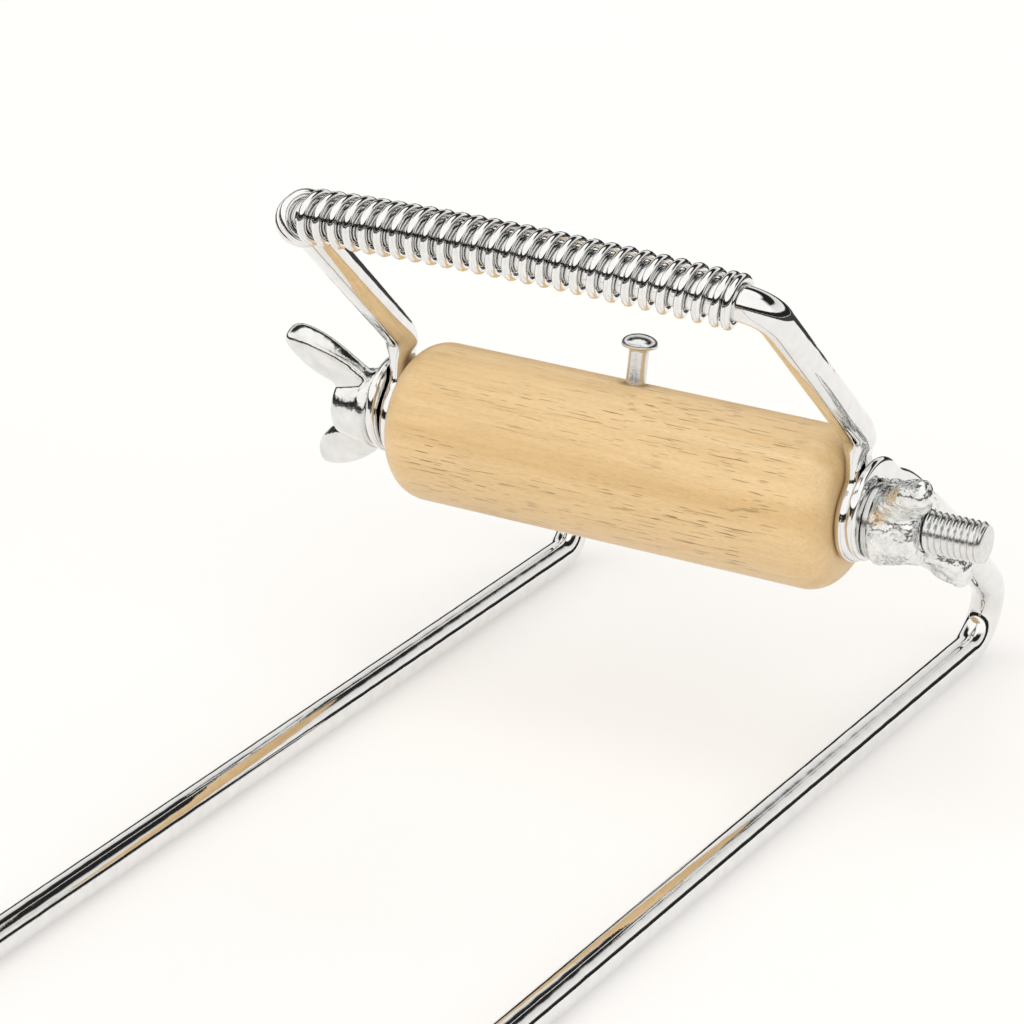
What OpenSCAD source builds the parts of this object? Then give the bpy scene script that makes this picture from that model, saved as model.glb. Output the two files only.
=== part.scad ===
// Wire bead loom: two side rods, with a roller, a warp pin, a swinging bail
// with a spacer spring, an axle and two wing nuts at each end.
// The origin is on the table, midway between the two ends. +Y runs along the loom.

/* [Frame] */
// Diameter of the frame and bail wire
wire_d = 4; // [3.8:0.05:4.2]
// Distance between the two roller axles
axle_span = 233; // [160:1:400]
// Height of the axles above the table
axle_height = 33.2; // [31:0.1:40]
// Distance between the centrelines of the side rods
rod_spacing = 57.3; // [55:0.1:60]
// How far the centreline of a hooked end reaches past its axle
hook_reach = 40.2; // [38:0.1:46]
// Centreline radius of the hook
hook_r = 5.1; // [4:0.1:6]
// Slope of the riser that runs from the hook up to the eye
riser_slope = 38.4; // [35:0.1:42]

/* [Eyes] */
// Thickness of the flattened eyes of the side rods
rod_eye_t = 1.2; // [1:0.1:1.4]
// Radius of the flattened eyes of the side rods
rod_eye_r = 6.1; // [5.6:0.1:6.4]
// Height of a side rod's eye above the hole in it
rod_eye_rise = 1.2; // [0:0.1:1.4]
// Thickness of the flattened eyes of the bails
bail_eye_t = 1.9; // [1.6:0.1:2]
// Radius of the flattened eyes of the bails
bail_eye_r = 5.4; // [5:0.1:5.8]

/* [Rollers] */
// Diameter of a roller
roller_d = 19.2; // [18:0.1:20]
// Length of a roller
roller_l = 58.4; // [57:0.1:60]
// Rounding of a roller's ends
roller_round = 4; // [2:0.1:5]
// Diameter of the axles
axle_d = 5; // [4.8:0.1:5]
// Length of an axle past the wing nut at its longer end
axle_tail = 7.2; // [2:0.2:9]
// Running clearance around the axles, on the radius
axle_gap = 0.05; // [0.03:0.01:0.08]

/* [Warp pins] */
// Diameter of a warp pin's shank
pin_d = 2.4; // [2:0.1:2.8]
// Free length of the shank, between the wood and the head
pin_free = 4.3; // [3.5:0.1:5]
// Depth of the shank in the wood
pin_depth = 5; // [4:0.1:6]
// Diameter of a warp pin's head
pin_head_d = 4.4; // [4:0.1:6]
// Height of a warp pin's head
pin_head_h = 1.6; // [1.2:0.1:2]
// Lean of a warp pin at rest, away from the middle of the loom
pin_lean = 10; // [0:1:20]

/* [Bails] */
// Height of a bail's knee above the axle
knee_rise = 10.6; // [10.4:0.1:12]
// Lean of the knee towards the middle of the loom
knee_lean = 1.2; // [0:0.1:2]
// Height of a bail's upper corners above the axle
bail_rise = 32.5; // [30:0.1:34]
// Lean of the upper corners towards the middle of the loom
bail_lean = 24.8; // [22:0.1:27]
// Distance between the wire centres at the upper corners
bail_width = 59.6; // [58.6:0.1:60.4]
// Distance between the wire centres at the knees
knee_width = 60.7; // [60.4:0.1:61]
// Height of the bow in the bail's bar
bail_bow = 2; // [1:0.1:3]
// Centreline radius of the upper corners
corner_r = 3.3; // [3:0.1:4]
// Centreline radius of the knees
knee_r = 4.5; // [3:0.1:4.8]

/* [Spacer springs] */
// Diameter of the spring wire
spring_wire = 1.1; // [0.9:0.05:1.15]
// Outer diameter of a spring
spring_od = 6.5; // [6.5:0.05:7]
// Number of turns that stand open
spring_turns = 26; // [20:1:28]
// Number of turns that are wound closed at each end
spring_closed = 1.5; // [1:0.5:2]

/* [Wing nuts] */
// Diameter of a wing nut's base
nut_base_d = 10; // [9.4:0.1:10.4]
// Diameter at the outer end of the hub
nut_top_d = 8; // [7.6:0.1:8.6]
// Length of the hub
nut_l = 5.6; // [5:0.1:6]
// Width from wing tip to wing tip
nut_span = 21.6; // [20:0.1:24]
// Thickness of the wings
wing_t = 3; // [2.4:0.1:3.2]
// Radius of the wing tips
wing_tip_r = 2.4; // [2:0.1:3]
// How far the centres of the wing tips stand out from the base
wing_reach = 9; // [7:0.1:10]
// Diameter of the washers
washer_d = 9.2; // [8.6:0.1:10]
// Thickness of the washers
washer_t = 0.7; // [0.5:0.1:1]

/* [Hidden] */

LEFT = -1;
RIGHT = 1;
$fn = 48;

// Gap between faces that slide past each other
face_gap = 0.05;
bore_d = axle_d + 2 * axle_gap;
// Places along X, measured out from the middle of a roller
bail_eye_x = roller_l / 2 + face_gap;
rod_eye_x = bail_eye_x + bail_eye_t + face_gap;
washer_x = rod_eye_x + rod_eye_t + face_gap;
nut_x = washer_x + washer_t;
axle_short_x = nut_x + nut_l + 0.5;
axle_long_x = nut_x + nut_l + axle_tail;
// Angles of the wings at rest, tipped from upright: left nut, then right nut
far_wing_tilt = [24, 42];
near_wing_tilt = [-35, 12];

// ---- Bent wire ----

wire_sides = 16;
// How far a facet of a bend may lie inside the true curve
bend_tolerance = 0.04;

function unit(v) = v / norm(v);
// Angle that a path turns through at its corner i
function turn_at(p, i) = acos(unit(p[i] - p[i - 1]) * unit(p[i + 1] - p[i]));

// Stations along a bend: each is a point and the direction of the wire there
function bend_stations(corner, d_in, d_out, r) =
    let (
        turn = acos(d_in * d_out),
        start = corner - d_in * r * tan(turn / 2),
        centre = corner + unit(d_out - d_in) * r / cos(turn / 2),
        out = unit(start - centre),
        steps = ceil(turn / (2 * acos(1 - bend_tolerance / r)))
    )
    [
        for (i = [0 : steps])
            let (a = turn * i / steps)
            [centre + r * (out * cos(a) + d_in * sin(a)), d_in * cos(a) - out * sin(a)]
    ];

// Stations along a path of corners p, bent to the radii r
function wire_stations(p, r) =
    let (last = len(p) - 1)
    concat(
        [[p[0], unit(p[1] - p[0])]],
        [
            for (i = [1 : last - 1])
                each bend_stations(p[i], unit(p[i] - p[i - 1]), unit(p[i + 1] - p[i]), r[i])
        ],
        [[p[last], unit(p[last] - p[last - 1])]]
    );

// Part of v that is square to direction d
function square_to(d, v) = unit(v - d * (v * d));

// Round wire through a list of stations. first_side is the side where its facets start.
module wire_through(stations, d, sides, first_side) {
    last = len(stations) - 1;
    normals = [
        for (
            i = 0, n = square_to(stations[0][1], first_side);
            i <= last;
            i = i + 1, n = square_to(stations[min(i, last)][1], n)
        )
            n
    ];
    points = [
        for (i = [0 : last], side = [0 : sides - 1])
            let (a = 360 * side / sides)
            stations[i][0]
            + d / 2 * (cos(a) * normals[i] + sin(a) * cross(stations[i][1], normals[i]))
    ];
    walls = [
        for (i = [0 : last - 1], side = [0 : sides - 1])
            let (next = (side + 1) % sides, row = i * sides)
            [row + next, row + side, row + sides + side, row + sides + next]
    ];
    start_cap = [[for (side = [0 : sides - 1]) side]];
    end_cap = [[for (side = [sides - 1 : -1 : 0]) last * sides + side]];
    polyhedron(points, concat(walls, start_cap, end_cap), convexity = 10);
}

module bent_wire(p, r) {
    wire_through(wire_stations(p, r), wire_d, wire_sides, [0, 0, 1]);
}

// Disc in the plane across X, centred at [y, z], from x outwards by t
module cheek(x, centre, r, t) {
    translate([x, centre[0], centre[1]])
        rotate([0, 90, 0])
            cylinder(h = t, r = r);
}

// ---- Side rods ----

// Corner where the line of the riser meets the line of the rod, past the axle
rod_z = wire_d / 2 - axle_height;
hook_corner = hook_reach - hook_r + hook_r / tan(riser_slope / 2);
// The flattened blade ends here, where the riser is round again
blade_end = 17.8;
blade_end_z = rod_z + (hook_corner - blade_end) * tan(riser_slope);
blade_mid = [8.3, -0.6];
blade_mid_r = 3.9;

// Flattened blade and eye of a side rod, with the axle at the origin
module rod_eye() {
    difference() {
        union() {
            hull() {
                cheek(rod_eye_x, [0, rod_eye_rise], rod_eye_r, rod_eye_t);
                cheek(rod_eye_x, blade_mid, blade_mid_r, rod_eye_t);
            }
            hull() {
                cheek(rod_eye_x, blade_mid, blade_mid_r, rod_eye_t);
                cheek(rod_eye_x, [blade_end, blade_end_z], wire_d / 2, rod_eye_t);
            }
        }
        cheek(rod_eye_x - 1, [0, 0], bore_d / 2, rod_eye_t + 2);
    }
}

// The right-hand rod. Its ends are hooked back over it and end in eyes.
module rod_shape() {
    x_low = rod_spacing / 2;
    x_high = rod_eye_x + rod_eye_t / 2;
    far = axle_span / 2;
    blade_start = 12;
    start_z = rod_z + (hook_corner - blade_start) * tan(riser_slope);
    lift = [0, 0, axle_height];
    corners = [
        [x_high, -far - blade_start, start_z],
        [x_low, -far - hook_corner, rod_z],
        [x_low, far + hook_corner, rod_z],
        [x_high, far + blade_start, start_z]
    ];
    translate(lift) {
        bent_wire(corners, [0, hook_r, hook_r, 0]);
        translate([0, far, 0]) rod_eye();
        mirror([0, 1, 0]) translate([0, far, 0]) rod_eye();
    }
}

module side_rod(side) {
    color("silver")
        if (side == RIGHT) {
            rod_shape();
        } else {
            mirror([1, 0, 0]) rod_shape();
        }
}

// ---- Parts of one end, with the axle at the origin and the loom's middle towards -Y ----

// The axle sticks out further past the right nut of its own end
module axle() {
    color("darkgray")
        translate([-axle_short_x, 0, 0])
            rotate([0, 90, 0])
                cylinder(h = axle_short_x + axle_long_x, d = axle_d);
}

module roller() {
    color("burlywood")
        difference() {
            rotate([0, 90, 0])
                rotate_extrude($fn = 96)
                    roller_section();
            rotate([0, 90, 0])
                cylinder(h = roller_l + 2, d = bore_d, center = true);
            rotate([-pin_lean, 0, 0])
                translate([0, 0, roller_d / 2 - pin_depth])
                    cylinder(h = pin_depth + 1, d = pin_d);
        }
}

// Half section of a roller, with its axis up the page
module roller_section() {
    core_r = roller_d / 2 - roller_round;
    translate([0, -roller_l / 2])
        square([core_r, roller_l]);
    translate([0, roller_round - roller_l / 2])
        square([roller_d / 2, roller_l - 2 * roller_round]);
    for (end = [-1, 1]) {
        translate([core_r, end * (roller_l / 2 - roller_round)])
            circle(r = roller_round);
    }
}

module warp_pin() {
    head_z = roller_d / 2 + pin_free;
    // The dome is part of a ball that is wider than the head
    dome_h = pin_head_h - 0.4;
    dome_r = (pow(pin_head_d / 2, 2) + pow(dome_h, 2)) / (2 * dome_h);
    color("silver")
        rotate([-pin_lean, 0, 0]) {
            translate([0, 0, roller_d / 2 - pin_depth])
                cylinder(h = pin_depth + pin_free, d = pin_d);
            translate([0, 0, head_z])
                cylinder(h = pin_head_h - dome_h, d = pin_head_d);
            intersection() {
                translate([0, 0, head_z + pin_head_h - dome_r])
                    sphere(r = dome_r);
                translate([0, 0, head_z + pin_head_h - dome_h])
                    cylinder(h = pin_head_h, d = pin_head_d + 1);
            }
        }
}

// The bar of a bail bows away from the axle, in the plane of the upper legs
leg_slope = unit([0, knee_lean - bail_lean, bail_rise - knee_rise]);
bail_corner = [bail_width / 2, -bail_lean, bail_rise];
bow_point = [0, -bail_lean, bail_rise] + leg_slope * 1.75 * bail_bow;
bail_knee = [knee_width / 2, -knee_lean, knee_rise];
// The flattened eye of a bail is round wire again at this height
bail_foot = [bail_eye_x + bail_eye_t / 2, -knee_lean / 2, 8.6];

function flip(v) = [-v.x, v.y, v.z];
bail_path = [
    bail_foot, bail_knee, bail_corner, bow_point,
    flip(bail_corner), flip(bail_knee), flip(bail_foot)
];
// The bow uses all of the bar that the corners leave straight
bar_half = norm(bail_corner - bow_point) - corner_r * tan(turn_at(bail_path, 2) / 2);
bow_r = bar_half / tan(turn_at(bail_path, 3) / 2);
bail_bends = [0, knee_r, corner_r, bow_r, corner_r, knee_r, 0];

// Flattened eye of the bail at its right-hand end
module bail_eye() {
    neck_r = 2.6;
    difference() {
        hull() {
            cheek(bail_eye_x, [0, 0], bail_eye_r, bail_eye_t);
            cheek(bail_eye_x, [bail_foot.y, bail_foot.z + 0.4], neck_r, bail_eye_t);
        }
        cheek(bail_eye_x - 1, [0, 0], bore_d / 2, bail_eye_t + 2);
    }
}

module bail() {
    color("silver") {
        bent_wire(bail_path, bail_bends);
        bail_eye();
        mirror([1, 0, 0]) bail_eye();
    }
}

// ---- Spacer spring, coiled around the bowed bar ----

bow_centre = bow_point - leg_slope * bow_r / cos(turn_at(bail_path, 3) / 2);
bow_side = cross([1, 0, 0], leg_slope);
// Half the angle that the spring takes of the bow, less a little at each end
spring_half_angle = turn_at(bail_path, 3) / 2 - 0.12;
coil_r = (spring_od - spring_wire) / 2;
coil_steps = 12;
coil_sides = 6;
all_turns = spring_turns + 2 * spring_closed;
closed_pitch = 1.03 * spring_wire / (2 * spring_half_angle * PI / 180 * bow_r);
open_pitch = (1 - 2 * spring_closed * closed_pitch) / spring_turns;

// Share of the spring's length at a number of turns from its start
function spring_share(turns) =
    turns * closed_pitch
    + (open_pitch - closed_pitch) * min(max(turns - spring_closed, 0), spring_turns);
// Direction from the bow's centre to the bar's centreline at a share of the length
function bow_out(share) =
    let (a = spring_half_angle * (2 * share - 1))
    [sin(a), 0, 0] + leg_slope * cos(a);
// Centre of the coiled wire after a number of turns
function coil_point(turns) =
    let (out = bow_out(spring_share(turns)))
    bow_centre + out * bow_r
    + coil_r * (cos(360 * turns) * out + sin(360 * turns) * bow_side);

module spacer_spring() {
    stations = [
        for (i = [0 : all_turns * coil_steps])
            let (turns = i / coil_steps)
            [coil_point(turns), unit(coil_point(turns + 0.01) - coil_point(turns - 0.01))]
    ];
    color("gainsboro")
        wire_through(stations, spring_wire, coil_sides, leg_slope);
}

// ---- Wing nuts and washers, along +X on the axle ----

module washer() {
    color("lightgray")
        translate([washer_x, 0, 0])
            rotate([0, 90, 0])
                difference() {
                    cylinder(h = washer_t, d = washer_d);
                    translate([0, 0, -1])
                        cylinder(h = washer_t + 2, d = bore_d);
                }
}

// One wing, standing up from the hub
module wing() {
    tip_rise = nut_span / 2 - wing_tip_r;
    root_r = 2.2;
    root_rise = 2.6;
    hull() {
        for (root = [root_r + 0.4, nut_l - root_r]) {
            translate([root, wing_t / 2, root_rise])
                rotate([90, 0, 0])
                    cylinder(h = wing_t, r = root_r, $fn = 32);
        }
        translate([wing_reach, wing_t / 2, tip_rise])
            rotate([90, 0, 0])
                cylinder(h = wing_t, r = wing_tip_r, $fn = 32);
    }
}

module wing_nut(tilt) {
    chamfer = 0.5;
    color("lightgray")
        translate([nut_x, 0, 0])
            rotate([tilt, 0, 0])
                difference() {
                    union() {
                        rotate([0, 90, 0])
                            rotate_extrude()
                                polygon([
                                    [0, 0],
                                    [nut_base_d / 2 - chamfer, 0],
                                    [nut_base_d / 2, chamfer],
                                    [nut_base_d / 2, 1.2],
                                    [nut_top_d / 2, nut_l],
                                    [0, nut_l]
                                ]);
                        wing();
                        rotate([180, 0, 0]) wing();
                    }
                    translate([-1, 0, 0])
                        rotate([0, 90, 0])
                            cylinder(h = nut_l + 2, d = bore_d);
                }
}

// ---- Placing ----

// The far end, at +Y
module at_far() {
    translate([0, axle_span / 2, axle_height])
        children();
}

// The near end is the far end turned half round
module at_near() {
    rotate([0, 0, 180])
        at_far()
            children();
}

// Brings a piece made for the +X end of an axle to the -X end
module to_minus_x() {
    mirror([1, 0, 0])
        children();
}

side_rod(LEFT);  // side_rod_left
side_rod(RIGHT);  // side_rod_right

at_far() axle();  // far_axle
at_far() roller();  // far_roller
at_far() warp_pin();  // far_warp_pin
at_far() bail();  // far_bail
at_far() spacer_spring();  // far_spacer_spring
at_far() to_minus_x() washer();  // far_washer_left
at_far() washer();  // far_washer_right
at_far() to_minus_x() wing_nut(far_wing_tilt[0]);  // far_wing_nut_left
at_far() wing_nut(far_wing_tilt[1]);  // far_wing_nut_right

at_near() axle();  // near_axle
at_near() roller();  // near_roller
at_near() warp_pin();  // near_warp_pin
at_near() bail();  // near_bail
at_near() spacer_spring();  // near_spacer_spring
at_near() washer();  // near_washer_left
at_near() to_minus_x() washer();  // near_washer_right
at_near() wing_nut(near_wing_tilt[0]);  // near_wing_nut_left
at_near() to_minus_x() wing_nut(near_wing_tilt[1]);  // near_wing_nut_right
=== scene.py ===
import math

import bmesh
import bpy
from mathutils import Matrix, Vector


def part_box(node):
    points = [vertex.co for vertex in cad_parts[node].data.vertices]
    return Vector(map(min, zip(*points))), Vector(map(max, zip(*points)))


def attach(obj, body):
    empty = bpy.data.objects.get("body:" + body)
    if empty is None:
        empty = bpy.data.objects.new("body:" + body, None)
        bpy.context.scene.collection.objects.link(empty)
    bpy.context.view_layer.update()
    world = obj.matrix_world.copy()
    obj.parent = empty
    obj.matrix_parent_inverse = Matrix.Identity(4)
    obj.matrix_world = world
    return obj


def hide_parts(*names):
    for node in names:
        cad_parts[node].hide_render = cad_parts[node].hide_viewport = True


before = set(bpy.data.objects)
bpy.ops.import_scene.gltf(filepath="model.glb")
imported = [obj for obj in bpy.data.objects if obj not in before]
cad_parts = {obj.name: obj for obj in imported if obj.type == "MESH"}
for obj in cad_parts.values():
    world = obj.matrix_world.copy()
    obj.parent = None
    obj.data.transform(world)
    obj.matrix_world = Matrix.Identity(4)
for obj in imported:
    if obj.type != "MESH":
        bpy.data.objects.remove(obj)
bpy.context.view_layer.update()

MM = 0.001

# ---------------------------------------------------------------- sizes, in millimetres


def box_mm(node):
    """Lowest and highest corners of a CAD node."""
    low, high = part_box(node)
    return Vector(low) / MM, Vector(high) / MM


AXLE_LOW, AXLE_HIGH = box_mm("far_axle")
AXLE = Vector((0, (AXLE_LOW.y + AXLE_HIGH.y) / 2, (AXLE_LOW.z + AXLE_HIGH.z) / 2))
AXLE_R = (AXLE_HIGH.z - AXLE_LOW.z) / 2
BORE_R = AXLE_R + 0.05
WIRE_R = 2.0
FACE_GAP = 0.05

ROLLER_LOW, ROLLER_HIGH = box_mm("far_roller")
ROLLER_L = ROLLER_HIGH.x - ROLLER_LOW.x
ROLLER_R = (ROLLER_HIGH.z - ROLLER_LOW.z) / 2
ROLLER_ROUND = 4.0

WASHER_LOW, WASHER_HIGH = box_mm("far_washer_right")
WASHER_R = (WASHER_HIGH.z - WASHER_LOW.z) / 2

# Side rods, seen from an axle
ROD_LOW, ROD_HIGH = box_mm("side_rod_right")
ROD_X = ROD_LOW.x + WIRE_R
ROD_Z = WIRE_R - AXLE.z
HOOK_R = 5.1
HOOK_CENTRE = ROD_HIGH.y - AXLE.y - WIRE_R - HOOK_R
RISER_SLOPE = math.radians(38.4)
ROD_EYE_T = 1.1
ROD_EYE_R = 6.1
ROD_EYE_RISE = 1.2
BLADE_MID = (8.3, -0.6)
BLADE_END = 17.8

# Bails
BAIL_EYE_T = 1.9
BAIL_EYE_R = 5.4
BAIL_EYE_X = ROLLER_L / 2 + FACE_GAP + BAIL_EYE_T / 2
ROD_EYE_X = WASHER_LOW.x - FACE_GAP - ROD_EYE_T / 2
KNEE = Vector((BAIL_EYE_X, -1.2, 10.6))
KNEE_R = 4.5
CORNER = Vector((29.8, -24.8, 32.5))
CORNER_R = 3.3
LEG = Vector((0, KNEE.y * -1 + CORNER.y, CORNER.z - KNEE.z)).normalized()
BOW_TOP = Vector((0, CORNER.y, CORNER.z)) + LEG * 3.5

# Springs
SPRING_WIRE = 1.1
SPRING_R = 2.7
SPRING_TURNS = 26
SPRING_CLOSED = 1.5
SPRING_FROM = -30.6
SPRING_TO = 26.9

# Warp pins
PIN_R = 1.2
PIN_FREE = 4.3
PIN_HEAD_R = 2.2
PIN_HEAD_H = 1.6
PIN_LEAN = math.radians(10)
PIN_HOLE_DEPTH = 5.0

# Wing nuts
NUT_X = WASHER_HIGH.x
NUT_L = 5.6
NUT_BASE_R = 5.0
NUT_TOP_R = 4.0
NUT_SPAN = 21.6
WING_T = 3.0
SQUAT_CASTING = 0.76
THREAD_PITCH = 0.8
THREAD_DEPTH = 0.22
FAR_TILT = {"left": 24, "right": 42}
NEAR_TILT = {"left": -35, "right": 12}
STAIN_SPOT = (34.4, 112.0, 35.5)
STAIN_R = 1.5

# ---------------------------------------------------------------- mesh helpers


def place(end):
    """Matrix from an end's own millimetres, at its axle, to the row frame."""
    at_far = Matrix.Translation(Vector((0, AXLE.y, AXLE.z)) * MM) @ Matrix.Scale(MM, 4)
    if end == "far":
        return at_far
    return Matrix.Rotation(math.pi, 4, "Z") @ at_far


def new_piece(name, verts, faces, matrix=None, sharp_deg=40):
    """Mesh object with smooth shading, apart from edges sharper than sharp_deg."""
    mesh = bpy.data.meshes.new(name)
    mesh.from_pydata([tuple(v) for v in verts], [], faces)
    mesh.validate()
    piece = bpy.data.objects.new(name, mesh)
    bpy.context.collection.objects.link(piece)
    tidy_mesh(piece, sharp_deg)
    if matrix is not None:
        mesh.transform(matrix)
    return piece


def tidy_mesh(piece, sharp_deg):
    """Joins doubled points, turns faces outwards and marks smooth and sharp."""
    mesh = piece.data
    work = bmesh.new()
    work.from_mesh(mesh)
    bmesh.ops.remove_doubles(work, verts=work.verts, dist=1e-5)
    bmesh.ops.recalc_face_normals(work, faces=work.faces)
    limit = math.radians(sharp_deg)
    for face in work.faces:
        face.smooth = True
    for edge in work.edges:
        edge.smooth = not (len(edge.link_faces) == 2 and edge.calc_face_angle() > limit)
    work.to_mesh(mesh)
    work.free()


def bake_modifiers(piece):
    """Replaces the mesh by what its modifiers make of it."""
    bpy.context.view_layer.update()
    shown = piece.evaluated_get(bpy.context.evaluated_depsgraph_get())
    mesh = bpy.data.meshes.new_from_object(shown)
    piece.modifiers.clear()
    piece.data = mesh


def cut(piece, tool):
    """Cuts the tool's shape out of the piece, and removes the tool."""
    modifier = piece.modifiers.new("cut", "BOOLEAN")
    modifier.operation = "DIFFERENCE"
    modifier.solver = "EXACT"
    modifier.object = tool
    bake_modifiers(piece)
    bpy.data.objects.remove(tool)


def lathe(name, profile, segments=64, matrix=None, sharp_deg=40, closed=False):
    """Turned shape around X from (x, radius) points; a radius of 0 closes an end."""
    verts, rings = [], []
    for x, radius in profile:
        if radius == 0:
            rings.append([len(verts)] * segments)
            verts.append((x, 0, 0))
            continue
        rings.append(list(range(len(verts), len(verts) + segments)))
        for i in range(segments):
            a = 2 * math.pi * i / segments
            verts.append((x, radius * math.cos(a), radius * math.sin(a)))
    pairs = list(zip(rings, rings[1:]))
    if closed:
        pairs.append((rings[-1], rings[0]))
    faces = []
    for one, two in pairs:
        for i in range(segments):
            j = (i + 1) % segments
            loop = [one[i], one[j], two[j], two[i]]
            faces.append([v for k, v in enumerate(loop) if v != loop[k - 1]])
    faces = [f for f in faces if len(f) > 2]
    return new_piece(name, verts, faces, matrix, sharp_deg)


def arc_points(cx, cr, radius, start_deg, end_deg, steps):
    """(x, radius) points of an arc in a turned profile."""
    points = []
    for i in range(steps + 1):
        a = math.radians(start_deg + (end_deg - start_deg) * i / steps)
        points.append((cx + radius * math.cos(a), cr + radius * math.sin(a)))
    return points


def smooth(low, high, x):
    """0 below low, 1 above high and an easy step between them."""
    t = min(max((x - low) / (high - low), 0), 1)
    return t * t * (3 - 2 * t)


# ---------------------------------------------------------------- wire paths


class WirePath:
    """Straight runs joined by round bends, measured by the length along it."""

    def __init__(self, corners, radii):
        self.runs = []
        self.length = 0
        here = corners[0]
        for i in range(1, len(corners)):
            d_in = (corners[i] - corners[i - 1]).normalized()
            if i == len(corners) - 1:
                self._line(here, d_in, (corners[i] - here).length)
                break
            d_out = (corners[i + 1] - corners[i]).normalized()
            turn = d_in.angle(d_out)
            reach = radii[i] * math.tan(turn / 2)
            start = corners[i] - d_in * reach
            self._line(here, d_in, (start - here).dot(d_in))
            centre = corners[i] + (d_out - d_in).normalized() * radii[i] / math.cos(turn / 2)
            out = (start - centre).normalized()
            self._add(radii[i] * turn, ("bend", centre, out, d_in, radii[i]))
            here = corners[i] + d_out * reach

    def _line(self, start, along, length):
        self._add(length, ("line", start, along))

    def _add(self, length, run):
        self.runs.append((self.length, length, run))
        self.length += length

    def at(self, s):
        """Point and direction at length s."""
        for start, length, run in self.runs:
            if s <= start + length or start + length >= self.length - 1e-9:
                break
        s -= start
        if run[0] == "line":
            return run[1] + run[2] * s, run[2].copy()
        centre, out, d_in, radius = run[1:]
        a = s / radius
        spot = centre + (out * math.cos(a) + d_in * math.sin(a)) * radius
        return spot, d_in * math.cos(a) - out * math.sin(a)

    def stops(self, fine, end_stops):
        """Lengths where rings go: fine near both ends, by angle in the bends."""
        stops = set(end_stops) | {self.length - s for s in end_stops}
        for start, length, run in self.runs:
            step = math.radians(5) * run[4] if run[0] == "bend" else 15
            count = max(1, math.ceil(length / min(step, 15)))
            stops |= {start + length * i / count for i in range(count + 1)}
        edge = max(end_stops)
        count = math.ceil((fine - edge) / 0.8)
        for i in range(count):
            s = edge + (fine - edge) * i / count
            stops |= {s, self.length - s}
        ordered = sorted(stops)
        kept = [ordered[0]]
        for s in ordered[1:]:
            if s - kept[-1] > 0.02:
                kept.append(s)
        kept[-1] = self.length
        return kept


def ring(spot, flat_dir, wide_dir, half_t, half_w, count):
    """Points round a wire that is round, or pressed flat with round edges."""
    edge_r = min(half_t, half_w)
    points = []
    for i in range(count):
        a = 2 * math.pi * i / count
        c, s = math.cos(a), math.sin(a)
        side = 0 if abs(c) < 1e-9 else math.copysign(1, c)
        wide = (half_w - edge_r) * side + edge_r * c
        points.append(spot + wide_dir * wide + flat_dir * half_t * s)
    return points


def skin(rings):
    """Faces over a row of equal rings, closed at both ends."""
    verts = [p for one in rings for p in one]
    count = len(rings[0])
    faces = []
    for i in range(len(rings) - 1):
        for j in range(count):
            k = (j + 1) % count
            faces.append([i * count + j, i * count + k, (i + 1) * count + k, (i + 1) * count + j])
    faces.append(list(range(count)))
    faces.append([(len(rings) - 1) * count + j for j in range(count)])
    return verts, faces


def eye_stops(eye_r):
    """Lengths from the tip of an eye where its rings go, closer near the tip."""
    angles = (1.5, 3, 5, 8, 12, 17, 23, 30, 38, 47, 57, 68, 79, 90)
    return [eye_r * (1 - math.cos(math.radians(a))) for a in angles]


def pressed(s, eye_r, eye_t, neck_w, press_from, press_to, wide_to):
    """Half thickness and half width of a wire end at length s from its tip."""
    flat = eye_t / 2
    half_t = flat + (WIRE_R - flat) * smooth(press_from, press_to, s)
    if s < flat:
        half_t *= math.sqrt(max(1 - (1 - s / flat) ** 2, 0.01))
    u = eye_r - s
    disc = math.sqrt(max(eye_r * eye_r - u * u, 0.01))
    strip = WIRE_R + (neck_w - WIRE_R) * (1 - smooth(eye_r, wide_to, s))
    if s <= eye_r:
        return half_t, disc
    blend = 0.8
    half_w = (disc + strip + math.sqrt((disc - strip) ** 2 + blend * blend)) / 2
    excess = (eye_r + neck_w + math.sqrt((eye_r - neck_w) ** 2 + blend * blend)) / 2 - eye_r
    return half_t, half_w - excess * (1 - smooth(eye_r, eye_r * 1.6, s))


def eyed_wire(name, path, press, fine, count=40):
    """Wire whose two ends are pressed into eyes. press gives the sizes of an end."""
    stops = path.stops(fine, eye_stops(press[0]))
    flat_dir = Vector((1, 0, 0))
    rings = []
    for s in stops:
        spot, along = path.at(s)
        flat_dir = (flat_dir - along * flat_dir.dot(along)).normalized()
        half_t, half_w = pressed(max(min(s, path.length - s), 0), *press)
        rings.append(ring(spot, flat_dir, along.cross(flat_dir), half_t, half_w, count))
    verts, faces = skin(rings)
    return new_piece(name, verts, faces)


def drill(piece, x, y, z, radius, depth=6):
    """Round hole along X."""
    profile = [(-depth / 2, 0), (-depth / 2, radius), (depth / 2, radius), (depth / 2, 0)]
    tool = lathe("drill", profile, 48, Matrix.Translation((x, y, z)))
    cut(piece, tool)


# ---------------------------------------------------------------- pieces


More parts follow.
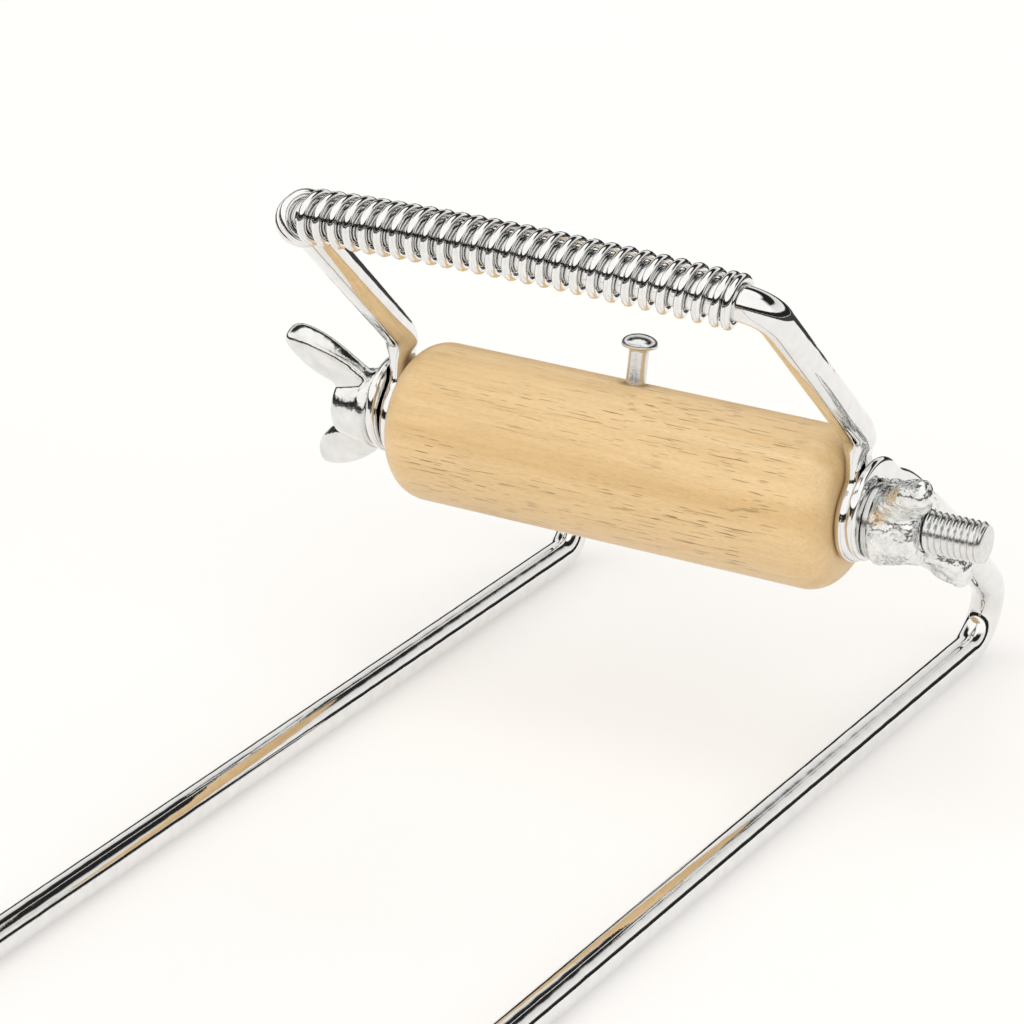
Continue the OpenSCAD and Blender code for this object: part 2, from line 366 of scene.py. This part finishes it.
def make_side_rod(side):
    """Side rod, hooked back at both ends, with a pressed eye on each axle."""
    far = AXLE.y
    hook_corner = HOOK_CENTRE + HOOK_R / math.tan(RISER_SLOPE / 2)
    end_z = ROD_Z + (hook_corner - BLADE_END) * math.tan(RISER_SLOPE)
    to_mid = (Vector((0, *BLADE_MID)) - Vector((0, 0, ROD_EYE_RISE))).normalized()
    tip = Vector((ROD_EYE_X, 0, ROD_EYE_RISE)) - to_mid * ROD_EYE_R
    one_end = [
        tip,
        Vector((ROD_EYE_X, *BLADE_MID)),
        Vector((ROD_EYE_X, BLADE_END, end_z)),
        Vector((ROD_X, hook_corner, ROD_Z)),
    ]
    lift = Vector((0, far, AXLE.z))
    far_end = [corner + lift for corner in one_end]
    near_end = [Vector((v.x, -v.y, v.z)) for v in far_end]
    path = WirePath(near_end + far_end[::-1], [0, 25, 50, HOOK_R, HOOK_R, 50, 25, 0])
    press = (ROD_EYE_R, ROD_EYE_T, 4.7, 13.0, 25.0, 27.0)
    rod = eyed_wire(f"side_rod_{side}_wire", path, press, 30)
    for y in (far, -far):
        drill(rod, ROD_EYE_X, y, AXLE.z, BORE_R)
    if side == "left":
        rod.data.transform(Matrix.Scale(-1, 4, (1, 0, 0)))
        tidy_mesh(rod, 40)
    rod.data.transform(Matrix.Scale(MM, 4))
    return rod


def flip(v):
    """The same spot on the other side of the loom."""
    return Vector((-v.x, v.y, v.z))


def bail_path():
    """Centreline of a bail, from one eye's tip up over the bowed bar to the other's."""
    eye = Vector((BAIL_EYE_X, 0, 0))
    tip = eye - (KNEE - eye).normalized() * BAIL_EYE_R
    corners = [tip, KNEE, CORNER, BOW_TOP, flip(CORNER), flip(KNEE), flip(tip)]
    into = (CORNER - KNEE).normalized()
    along = (BOW_TOP - CORNER).normalized()
    corner_reach = CORNER_R * math.tan(into.angle(along) / 2)
    half_turn = along.angle(flip(along) * -1) / 2
    bow_r = ((BOW_TOP - CORNER).length - corner_reach) / math.tan(half_turn)
    return WirePath(corners, [0, KNEE_R, CORNER_R, bow_r, CORNER_R, KNEE_R, 0])


def make_bail(end):
    """Bail of bent wire, with an eye pressed at each end."""
    press = (BAIL_EYE_R, BAIL_EYE_T, 2.9, 12.9, 15.4, 14.6)
    bail = eyed_wire(f"{end}_bail_wire", bail_path(), press, 20)
    for x in (BAIL_EYE_X, -BAIL_EYE_X):
        drill(bail, x, 0, 0, BORE_R)
    bail.data.transform(place(end))
    return bail


def make_spring(end):
    """Coil spring round the bail's bar, wound closed at both ends."""
    path = bail_path()
    middle = path.length / 2
    bar_side = Vector((1, 0, 0)).cross(LEG)
    turns = SPRING_TURNS + 2 * SPRING_CLOSED
    first, last = SPRING_FROM, SPRING_TO
    closed = SPRING_WIRE * 1.04
    pitch = (last - first - 2 * SPRING_CLOSED * closed) / SPRING_TURNS

    def wire_point(turn):
        opened = min(max(turn - SPRING_CLOSED, 0), SPRING_TURNS)
        x = first + turn * closed + opened * (pitch - closed)
        spot, along = path.at(middle - x)
        along = -along
        out = bar_side.cross(along) * -1
        a = 2 * math.pi * turn
        return spot + (out * math.cos(a) + bar_side * math.sin(a)) * SPRING_R

    steps, count = 28, 12
    normal = LEG.copy()
    rings = []
    total = int(turns * steps)
    for i in range(total + 1):
        turn = i / steps
        spot = wire_point(turn)
        along = (wire_point(turn + 0.005) - wire_point(turn - 0.005)).normalized()
        normal = (normal - along * normal.dot(along)).normalized()
        radius = SPRING_WIRE / 2
        if i in (0, total):
            radius *= 0.8
        rings.append(ring(spot, normal, along.cross(normal), radius, radius, count))
    verts, faces = skin(rings)
    return new_piece(f"{end}_coil_spring", verts, faces, place(end))


def pin_turn():
    """Turns a shape along X to the line of a warp pin, leaning from upright."""
    return Matrix.Rotation(-PIN_LEAN, 4, "X") @ Matrix.Rotation(-math.pi / 2, 4, "Y")


def make_roller(end):
    """Turned wooden roller with soft ends and a through hole."""
    half = ROLLER_L / 2
    core = ROLLER_R - ROLLER_ROUND
    profile = [(half - 1.0, BORE_R), (half - 0.3, BORE_R + 0.05), (half, BORE_R + 0.35)]
    profile += arc_points(half - ROLLER_ROUND, core, ROLLER_ROUND, 0, 90, 14)
    inner = half - ROLLER_ROUND
    profile += [(inner - 2 * inner * i / 24, ROLLER_R) for i in range(1, 24)]
    profile += arc_points(-inner, core, ROLLER_ROUND, 90, 180, 14)
    profile += [(-half, BORE_R + 0.35), (0.3 - half, BORE_R + 0.05), (1.0 - half, BORE_R)]
    roller = lathe(f"{end}_roller_wood", profile, 120, None, 50, closed=True)
    bottom, top = ROLLER_R - PIN_HOLE_DEPTH, ROLLER_R + 1
    hole = [(bottom, 0), (bottom, PIN_R), (top, PIN_R), (top, 0)]
    tool = lathe("pin_hole", hole, 32, pin_turn())
    cut(roller, tool)
    roller.data.transform(place(end))
    return roller


def make_warp_pin(end):
    """Domed rivet that stands in the roller."""
    top = ROLLER_R + PIN_FREE
    profile = [(ROLLER_R - 4.9, 0), (ROLLER_R - 4.9, PIN_R - 0.3), (ROLLER_R - 4.6, PIN_R - 0.01)]
    profile += [(ROLLER_R + 0.5, PIN_R - 0.01), (top - 0.5, PIN_R - 0.01), (top - 0.15, PIN_R + 0.06)]
    profile += [(top, PIN_R + 0.25), (top + 0.02, PIN_HEAD_R - 0.35)]
    profile += [(top + 0.10, PIN_HEAD_R - 0.12), (top + 0.28, PIN_HEAD_R)]
    rim, crown_r = top + 0.48, PIN_HEAD_R - 0.04
    crown_h = PIN_HEAD_H - 0.48
    for i in range(8):
        a = math.radians(90 * i / 8)
        profile.append((rim + crown_h * math.sin(a), crown_r * math.cos(a)))
    profile.append((rim + crown_h, 0))
    return lathe(f"{end}_warp_rivet", profile, 40, place(end) @ pin_turn(), 60)


def make_axle(end):
    """Threaded rod: plain in the roller, threaded and cut off at both ends."""
    count = 36
    step = THREAD_PITCH / 10
    thread_from = ROLLER_L / 2 + 1.5
    bevel_l = 0.35

    def row(x, depth, scale=1.0):
        points = []
        for i in range(count):
            phase = (x / THREAD_PITCH - i / count) % 1
            tooth = min(abs(phase - 0.5) * 2.6, 1)
            radius = (AXLE_R - depth * tooth) * scale
            a = 2 * math.pi * i / count
            points.append(Vector((x, radius * math.cos(a), radius * math.sin(a))))
        return points

    def thread(start, stop):
        rows = []
        for i in range(int((stop - start) / step) + 1):
            x = start + step * i
            edge = min(x - start, stop - x, bevel_l) / bevel_l if abs(x) > thread_from + 2 else 1
            rows.append(row(x, THREAD_DEPTH, 0.9 + 0.1 * edge))
        return rows

    rows = thread(AXLE_LOW.x, -thread_from)
    rows += [row(-thread_from + step, 0), row(thread_from - step, 0)]
    rows += thread(thread_from, AXLE_HIGH.x)
    rows[-1] = [Vector((AXLE_HIGH.x, v.y, v.z)) for v in rows[-1]]
    verts, faces = skin(rows)
    return new_piece(f"{end}_threaded_axle", verts, faces, place(end), 75)


def make_washer(end, side):
    """Pressed washer with a rounded upper edge."""
    low, high = WASHER_LOW.x + 0.01, WASHER_HIGH.x - 0.01
    profile = [(low, BORE_R), (low, WASHER_R - 0.05), (low + 0.06, WASHER_R), (high - 0.16, WASHER_R)]
    profile += [(high - 0.05, WASHER_R - 0.06), (high, WASHER_R - 0.18), (high, BORE_R)]
    out = 1 if (side == "right") == (end == "far") else -1
    turn = Matrix.Identity(4) if out > 0 else Matrix.Rotation(math.pi, 4, "Z")
    return lathe(f"{end}_washer_{side}_ring", profile, 64, place(end) @ turn, 30, closed=True)


def chaikin(points, rounds):
    """Rounds the corners of a closed outline."""
    for _ in range(rounds):
        cut_points = []
        for i, p in enumerate(points):
            q = points[(i + 1) % len(points)]
            cut_points += [p * 0.75 + q * 0.25, p * 0.25 + q * 0.75]
        points = cut_points
    return points


def wing_outline(squat):
    """One wing from the side: x out along the axle, z up from it."""
    tip_x, tip_z = NUT_L + 5.8, NUT_SPAN / 2
    corners = [
        (0.4, 0.5), (0.3, 4.4), (1.4, 5.9), (3.3, 7.8), (5.2, 9.2), (7.4, tip_z - 0.5),
        (9.6, tip_z + 0.1), (tip_x - 0.3, tip_z - 0.3), (tip_x + 0.1, tip_z - 1.8),
        (tip_x - 0.5, tip_z - 3.6), (9.6, 5.8), (8.0, 4.6), (6.2, 3.9), (5.3, 3.2), (5.0, 0.5),
    ]
    return chaikin([Vector((x * squat, 0, z)) for x, z in corners], 3)


def make_wing(name, squat):
    """Solid wing, thicker at its root and tip, with a rounded rim."""
    outline = wing_outline(squat)
    count = len(outline)
    middle = sum(outline, Vector()) / count
    layers = []
    rim = 1.15
    half = WING_T / 2
    for i in range(9):
        a = math.radians(-90 + 180 * i / 8)
        inset = rim * (1 - math.cos(a))
        y = (half - rim) * (1 if a > 0 else -1 if a < 0 else 0) + rim * math.sin(a)
        layer = []
        for j, p in enumerate(outline):
            ahead, behind = outline[(j + 1) % count], outline[j - 1]
            along = (ahead - behind).normalized()
            inward = Vector((-along.z, 0, along.x))
            if inward.dot(middle - p) < 0:
                inward = -inward
            thick = 1.05 - 0.2 * smooth(3, 7, p.z) + 0.3 * smooth(7, 11, p.z)
            layer.append(p + inward * inset + Vector((0, y * thick, 0)))
        layers.append(layer)
    verts, faces = skin(layers)
    return new_piece(name, verts, faces)


def make_wing_nut(end, side, rough):
    """Cast wing nut: hub and two wings fused, then bored."""
    profile = [(0, 0), (0, NUT_BASE_R - 0.45), (0.12, NUT_BASE_R - 0.15), (0.45, NUT_BASE_R)]
    profile += [(1.3, NUT_BASE_R), (1.7, NUT_BASE_R - 0.25), (NUT_L - 0.5, NUT_TOP_R + 0.1)]
    profile += [(NUT_L - 0.1, NUT_TOP_R - 0.25), (NUT_L, NUT_TOP_R - 0.6), (NUT_L, 0)]
    nut = lathe(f"{end}_wing_nut_{side}_cast", profile, 64)
    for turn in (0, math.pi):
        wing = make_wing("wing", SQUAT_CASTING if rough else 1)
        wing.data.transform(Matrix.Rotation(turn, 4, "X"))
        join = nut.modifiers.new("join", "BOOLEAN")
        join.operation = "UNION"
        join.solver = "EXACT"
        join.object = wing
        bake_modifiers(nut)
        bpy.data.objects.remove(wing)
    remesh = nut.modifiers.new("remesh", "REMESH")
    remesh.mode = "VOXEL"
    remesh.voxel_size = 0.2
    relax = nut.modifiers.new("relax", "SMOOTH")
    relax.factor = 0.6
    relax.iterations = 10
    if rough:
        add_casting_lumps(nut)
    bake_modifiers(nut)
    drill(nut, NUT_L / 2, 0, 0, BORE_R, NUT_L + 4)
    tidy_mesh(nut, 42)
    tilt = (FAR_TILT if end == "far" else NEAR_TILT)[side]
    out = 1 if (side == "right") == (end == "far") else -1
    turn = Matrix.Identity(4) if out > 0 else Matrix.Scale(-1, 4, (1, 0, 0))
    at_nut = Matrix.Translation((NUT_X, 0, 0)) @ Matrix.Rotation(math.radians(tilt), 4, "X")
    nut.data.transform(place(end) @ turn @ at_nut)
    if out < 0:
        nut.data.flip_normals()
    return nut


def add_casting_lumps(nut):
    """Uneven surface of a rough casting."""
    texture = bpy.data.textures.new("casting_lumps", "CLOUDS")
    texture.noise_scale = 1.6
    texture.noise_depth = 2
    lumps = nut.modifiers.new("lumps", "DISPLACE")
    lumps.texture = texture
    lumps.strength = 0.45
    lumps.mid_level = 0.5


# ---------------------------------------------------------------- materials


class Nodes:
    """Short way to build a material's node tree in millimetres."""

    def __init__(self, name):
        self.material = bpy.data.materials.new(name)
        self.material.use_nodes = True
        self.tree = self.material.node_tree
        self.shader = self.tree.nodes["Principled BSDF"]
        where = self.add("ShaderNodeTexCoord").outputs["Object"]
        self.mm = self.scaled(where, (1 / MM,) * 3)

    def add(self, kind, **settings):
        node = self.tree.nodes.new(kind)
        for key, value in settings.items():
            setattr(node, key, value)
        return node

    def link(self, out, into):
        self.tree.links.new(out, into)

    def scaled(self, vector, scale):
        node = self.add("ShaderNodeMapping")
        node.inputs["Scale"].default_value = scale
        self.link(vector, node.inputs["Vector"])
        return node.outputs["Vector"]

    def noise(self, scale, detail=2.0, rough=0.5, stretch=(1, 1, 1), distort=0.0, shift=(0, 0, 0)):
        """Noise in millimetres, stretched along the axes."""
        node = self.add("ShaderNodeTexNoise")
        node.inputs["Scale"].default_value = scale
        node.inputs["Detail"].default_value = detail
        node.inputs["Roughness"].default_value = rough
        node.inputs["Distortion"].default_value = distort
        where = self.scaled(self.mm, stretch)
        where.node.inputs["Location"].default_value = shift
        self.link(where, node.inputs["Vector"])
        return node.outputs["Fac"]

    def ramp(self, value, stops):
        """Colours or greys against a value, from (place, colour) pairs."""
        node = self.add("ShaderNodeValToRGB")
        marks = node.color_ramp.elements
        while len(marks) < len(stops):
            marks.new(0.5)
        for mark, (spot, colour) in zip(marks, stops):
            mark.position = spot
            mark.color = (*colour, 1) if isinstance(colour, tuple) else (colour, colour, colour, 1)
        self.link(value, node.inputs["Fac"])
        return node.outputs["Color"]

    def mix(self, factor, one, two, kind="MIX"):
        """Blend of two colours."""
        node = self.add("ShaderNodeMix", data_type="RGBA", blend_type=kind)
        self.feed(factor, node.inputs["Factor"])
        self.feed(one, node.inputs["A"])
        self.feed(two, node.inputs["B"])
        return node.outputs["Result"]

    def away_from_ends(self, half_length):
        """1 in the middle of a length along X, falling to 0 at its ends."""
        split = self.add("ShaderNodeSeparateXYZ")
        self.link(self.mm, split.inputs[0])
        reach = self.math("ABSOLUTE", split.outputs["X"])
        fall = self.add("ShaderNodeMapRange")
        fall.inputs["From Min"].default_value = half_length
        fall.inputs["From Max"].default_value = half_length - 3
        self.link(reach, fall.inputs["Value"])
        return fall.outputs["Result"]

    def spot(self, centre, radius):
        """1 at a spot in the row frame, falling to 0 with a ragged edge."""
        away = self.add("ShaderNodeVectorMath", operation="DISTANCE")
        self.link(self.mm, away.inputs[0])
        away.inputs[1].default_value = centre
        ragged = self.math("MULTIPLY", self.noise(1.6, 4, 0.6), radius * 1.4)
        reach = self.math("ADD", away.outputs["Value"], ragged)
        return self.ramp(self.math("DIVIDE", reach, radius * 2.0), [(0.35, 1.0), (0.85, 0.0)])

    def math(self, kind, one, two=0.0):
        node = self.add("ShaderNodeMath", operation=kind)
        self.feed(one, node.inputs[0])
        self.feed(two, node.inputs[1])
        return node.outputs[0]

    def feed(self, value, socket):
        """A constant goes on the socket itself, and anything else is linked."""
        if isinstance(value, (int, float)):
            socket.default_value = value
        elif isinstance(value, tuple):
            socket.default_value = (*value, 1)
        else:
            self.link(value, socket)

    def bump(self, heights):
        """Bumps from (height, depth in mm) pairs, one on another."""
        last = None
        for height, depth in heights:
            node = self.add("ShaderNodeBump")
            node.inputs["Strength"].default_value = 1.0
            node.inputs["Distance"].default_value = depth * MM
            self.link(height, node.inputs["Height"])
            if last is not None:
                self.link(last, node.inputs["Normal"])
            last = node.outputs["Normal"]
        self.link(last, self.shader.inputs["Normal"])

    def set(self, **values):
        """Feeds the shader's sockets, named with _ for a space."""
        for key, value in values.items():
            self.feed(value, self.shader.inputs[key.replace("_", " ")])


def chrome_material():
    """Bright plating with faint waves and hairline wear."""
    n = Nodes("bright_chrome")
    haze = n.noise(0.6, 3)
    n.set(Metallic=1.0, Base_Color=n.ramp(haze, [(0.3, (0.80, 0.80, 0.80)), (0.7, (0.87, 0.87, 0.865))]))
    n.set(Roughness=n.ramp(n.noise(2.2, 4, 0.6), [(0.35, 0.035), (0.75, 0.10)]))
    n.bump([(n.noise(0.25, 1), 0.05), (n.noise(3.0, 2), 0.002)])
    return n.material


def spring_material():
    """Bright plating, a little duller on the thin spring wire."""
    n = Nodes("spring_chrome")
    shade = n.ramp(n.noise(1.0, 2), [(0.3, (0.80, 0.80, 0.80)), (0.7, (0.88, 0.88, 0.87))])
    n.set(Metallic=1.0, Base_Color=shade)
    n.set(Roughness=n.ramp(n.noise(3.0, 3), [(0.35, 0.05), (0.75, 0.12)]))
    n.bump([(n.noise(2.0, 2), 0.004)])
    return n.material


def plated_nut_material():
    """Smooth plated casting."""
    n = Nodes("plated_casting")
    shade = n.ramp(n.noise(0.5, 3), [(0.3, (0.72, 0.72, 0.70)), (0.7, (0.84, 0.84, 0.83))])
    n.set(Metallic=1.0, Base_Color=shade)
    n.set(Roughness=n.ramp(n.noise(1.5, 4, 0.6), [(0.35, 0.08), (0.7, 0.20)]))
    n.bump([(n.noise(0.7, 2), 0.08), (n.noise(4.0, 3), 0.006)])
    return n.material


def zinc_nut_material():
    """Rough bright zinc casting with pits and a small brown stain."""
    n = Nodes("zinc_casting")
    mottle = n.noise(0.9, 5, 0.6)
    greys = [(0.3, (0.70, 0.72, 0.71)), (0.55, (0.86, 0.87, 0.86)), (0.75, (0.95, 0.95, 0.94))]
    zinc = n.ramp(mottle, greys)
    stain = n.spot(STAIN_SPOT, STAIN_R)
    n.set(Metallic=n.math("SUBTRACT", 1.0, n.math("MULTIPLY", stain, 0.45)))
    n.set(Base_Color=n.mix(n.math("MULTIPLY", stain, 0.95), zinc, (0.62, 0.41, 0.20)))
    n.set(Roughness=n.ramp(n.noise(1.8, 5, 0.6), [(0.3, 0.14), (0.7, 0.32)]))
    n.bump([(n.noise(0.8, 2, 0.5), 0.26), (n.noise(3.5, 2, 0.5), 0.012)])
    return n.material


def steel_material(name, tone, low, high):
    """Plain plated steel for the pins, the axles and the washers."""
    n = Nodes(name)
    shade = n.ramp(n.noise(1.2, 3), [(0.3, (tone * 0.88,) * 3), (0.7, (tone, tone, tone * 0.985))])
    n.set(Metallic=1.0, Base_Color=shade)
    n.set(Roughness=n.ramp(n.noise(2.5, 3), [(0.3, low), (0.7, high)]))
    n.bump([(n.noise(2.5, 3), 0.012)])
    return n.material


def wood_material():
    """Pale straight-grained hardwood with short dark pores along the roller."""
    n = Nodes("roller_wood")
    bands = n.noise(1.0, 3, 0.55, (0.012, 0.22, 0.22), 0.6)
    fibres = n.noise(1.0, 4, 0.6, (0.10, 2.2, 2.2))
    flecks = n.noise(1.0, 4, 0.7, (1.1, 5.0, 5.0))
    tans = [(0.32, (0.69, 0.462, 0.213)), (0.50, (0.75, 0.523, 0.26)), (0.70, (0.79, 0.575, 0.307))]
    base = n.ramp(bands, tans)
    fine = n.ramp(fibres, [(0.30, 0.86), (0.55, 1.0), (0.80, 1.04)])
    tone = n.mix(0.55, base, fine, "MULTIPLY")
    tone = n.mix(0.6, tone, n.ramp(flecks, [(0.36, 0.86), (0.50, 1.0), (0.66, 1.05)]), "MULTIPLY")
    pore_noise = n.noise(1.0, 1, 0.4, (0.30, 7.0, 7.0))
    patches = n.noise(1.0, 2, 0.5, (0.05, 0.13, 0.13), shift=(5.4, 0.6, 2.2))
    pore_line = n.ramp(pore_noise, [(0.66, 0.0), (0.70, 1.0)])
    where = n.ramp(patches, [(0.40, 0.0), (0.56, 1.0)])
    pores = n.mix(1.0, pore_line, where, "MULTIPLY")
    pores = n.math("MULTIPLY", pores, n.away_from_ends(ROLLER_L / 2 - 3.5))
    strength = n.math("MULTIPLY", pores, 0.8)
    n.set(Base_Color=n.mix(strength, tone, (0.27, 0.145, 0.055)))
    n.set(Roughness=n.ramp(fibres, [(0.3, 0.48), (0.7, 0.38)]))
    n.shader.inputs["Specular IOR Level"].default_value = 0.5
    n.set(Coat_Weight=0.3, Coat_Roughness=0.35)
    hollow = n.math("SUBTRACT", 1.0, pores)
    n.bump([(hollow, 0.06), (fibres, 0.02)])
    return n.material


# ---------------------------------------------------------------- building


MATERIALS = {
    "frame_chrome": chrome_material(),
    "spring_chrome": spring_material(),
    "roller_wood": wood_material(),
    "pin_steel": steel_material("pin_steel", 0.80, 0.14, 0.26),
    "axle_steel": steel_material("axle_steel", 0.80, 0.16, 0.28),
    "washer_zinc": steel_material("washer_zinc", 0.70, 0.15, 0.28),
    "plated_nut": plated_nut_material(),
    "zinc_nut": zinc_nut_material(),
}


def finish_piece(piece, node, body, slot):
    """Gives a piece the material of its slot, puts it on its body and hides the CAD node it stands for.
    """
    piece.data.materials.clear()
    piece.data.materials.append(MATERIALS[slot])
    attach(piece, body)
    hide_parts(node)


def build_loom():
    """Every piece of the loom, each in the place of its CAD node."""
    for side in ("left", "right"):
        finish_piece(make_side_rod(side), f"side_rod_{side}", "frame", "frame_chrome")
    for end in ("far", "near"):
        finish_piece(make_axle(end), f"{end}_axle", "frame", "axle_steel")
        finish_piece(make_roller(end), f"{end}_roller", f"{end}_roller", "roller_wood")
        finish_piece(make_warp_pin(end), f"{end}_warp_pin", f"{end}_roller", "pin_steel")
        finish_piece(make_bail(end), f"{end}_bail", f"{end}_bail", "frame_chrome")
        finish_piece(make_spring(end), f"{end}_spacer_spring", f"{end}_bail", "spring_chrome")
        for side in ("left", "right"):
            washer, nut = f"{end}_washer_{side}", f"{end}_wing_nut_{side}"
            rough = (side == "right") == (end == "far")
            finish_piece(make_washer(end, side), washer, washer, "washer_zinc")
            slot = "zinc_nut" if rough else "plated_nut"
            finish_piece(make_wing_nut(end, side, rough), nut, nut, slot)


# ---------------------------------------------------------------- stage, light and camera


def make_floor():
    """Pale table, lit a little from below, so that shadows stay faint."""
    size = 6.0
    corners = [(-size, -size, 0), (size, -size, 0), (size, size, 0), (-size, size, 0)]
    floor = new_piece("floor", corners, [[0, 1, 2, 3]])
    n = Nodes("pale_floor")
    n.set(Base_Color=n.ramp(n.noise(0.01, 2), [(0.3, (0.49, 0.48, 0.468)), (0.7, (0.51, 0.50, 0.488))]))
    n.set(Roughness=0.6, Emission_Color=(1.0, 0.982, 0.96), Emission_Strength=0.43)
    n.shader.inputs["Specular IOR Level"].default_value = 0.0
    floor.data.materials.append(n.material)


def make_dark_surround():
    """Dark room beyond the lit table, which only mirrors see."""
    table_r, room_r, lift = 0.38, 3.0, 0.001
    verts, faces = [], []
    count = 48
    for i in range(count):
        a = 2 * math.pi * i / count
        verts += [(r * math.cos(a), r * math.sin(a), lift) for r in (table_r, room_r)]
        j = (i + 1) % count
        faces.append([2 * i, 2 * i + 1, 2 * j + 1, 2 * j])
    ring_card = new_piece("dark_surround", verts, faces)
    n = Nodes("dark_room")
    n.set(Base_Color=n.ramp(n.noise(0.01), [(0.3, 0.010), (0.7, 0.014)]), Roughness=0.9)
    ring_card.data.materials.append(n.material)
    ring_card.visible_camera = False
    ring_card.visible_diffuse = False
    ring_card.visible_shadow = False


def look_at(thing, spot, target):
    """Puts a light at a spot and turns it to a target."""
    thing.location = spot
    thing.rotation_euler = (Vector(target) - Vector(spot)).to_track_quat("-Z", "Y").to_euler()


def add_area(name, spot, target, size, power):
    """Square soft light, in metres and watts."""
    light = bpy.data.lights.new(name, "AREA")
    light.shape = "SQUARE"
    light.size = size
    light.energy = power
    thing = bpy.data.objects.new(name, light)
    bpy.context.collection.objects.link(thing)
    look_at(thing, spot, target)
    return thing


def world_ramp(tree, value, stops):
    """Warm greys against a value, from (place, grey) pairs."""
    ramp = tree.nodes.new("ShaderNodeValToRGB")
    marks = ramp.color_ramp.elements
    while len(marks) < len(stops):
        marks.new(0.5)
    for mark, (spot, grey) in zip(marks, stops):
        mark.position = spot
        mark.color = (grey, grey * 0.99, grey * 0.965, 1)
    tree.links.new(value, ramp.inputs["Fac"])
    return ramp.outputs["Color"]


def make_world():
    """White room with a dark far wall, seen in the chrome as crisp dark lines."""
    world = bpy.data.worlds.new("studio")
    bpy.context.scene.world = world
    world.use_nodes = True
    tree = world.node_tree
    where = tree.nodes.new("ShaderNodeTexCoord").outputs["Generated"]
    split = tree.nodes.new("ShaderNodeSeparateXYZ")
    tree.links.new(where, split.inputs[0])
    height = split.outputs["Z"]
    far_wall = [
        (0.0, 0.02), (0.21, 0.02), (0.26, 1.0), (0.55, 0.8), (0.60, 0.02), (0.85, 0.02), (0.90, 1.2),
    ]
    near_wall = [(0.24, 0.02), (0.28, 1.15)]
    half = tree.nodes.new("ShaderNodeMath")
    half.operation = "MULTIPLY_ADD"
    half.inputs[1].default_value = 0.5
    half.inputs[2].default_value = 0.5
    tree.links.new(split.outputs["Y"], half.inputs[0])
    blend = tree.nodes.new("ShaderNodeMix")
    blend.data_type = "RGBA"
    nearness = world_ramp(tree, half.outputs[0], [(0.45, 1.0), (0.55, 0.0)])
    tree.links.new(nearness, blend.inputs["Factor"])
    tree.links.new(world_ramp(tree, height, far_wall), blend.inputs["A"])
    tree.links.new(world_ramp(tree, height, near_wall), blend.inputs["B"])
    tree.links.new(blend.outputs["Result"], tree.nodes["Background"].inputs["Color"])


def make_lights():
    """Four large soft lights round the far end, which mirrors don't see."""
    target = (0, AXLE.y * MM, AXLE.z * MM)
    make_world()
    for name, spot, size, power in (
        ("key", (-0.8, -0.5, 1.5), 2.4, 8.5),
        ("fill", (1.2, -0.8, 1.1), 2.4, 7.5),
        ("front", (0.1, -1.6, 0.6), 1.8, 7),
        ("back", (0.2, 1.6, 1.2), 2.2, 11),
    ):
        light = add_area(name, spot, target, size, power)
        light.visible_glossy = False


def make_camera():
    """Long lens, a little above the far end and turned to its right."""
    azimuth, elevation, roll = (math.radians(a) for a in (29.758, 22.591, 0.770))
    distance, across, up_by = 0.51699, -0.013447, -0.005706
    back = Vector((
        math.sin(azimuth) * math.cos(elevation),
        -math.cos(azimuth) * math.cos(elevation),
        math.sin(elevation),
    ))
    level = Vector((math.cos(azimuth), math.sin(azimuth), 0))
    rise = back.cross(level)
    right = level * math.cos(roll) + rise * math.sin(roll)
    up = rise * math.cos(roll) - level * math.sin(roll)
    spot = AXLE * MM + right * across + up * up_by + back * distance
    data = bpy.data.cameras.new("camera")
    data.sensor_width = 36
    data.lens = 155.3
    data.clip_start = 0.01
    camera = bpy.data.objects.new("camera", data)
    bpy.context.collection.objects.link(camera)
    turn = Matrix((right, up, back)).transposed()
    camera.matrix_world = Matrix.Translation(spot) @ turn.to_4x4()
    bpy.context.scene.camera = camera


bpy.context.scene.view_settings.view_transform = "Standard"
make_camera()
build_loom()
make_floor()
make_dark_surround()
make_lights()
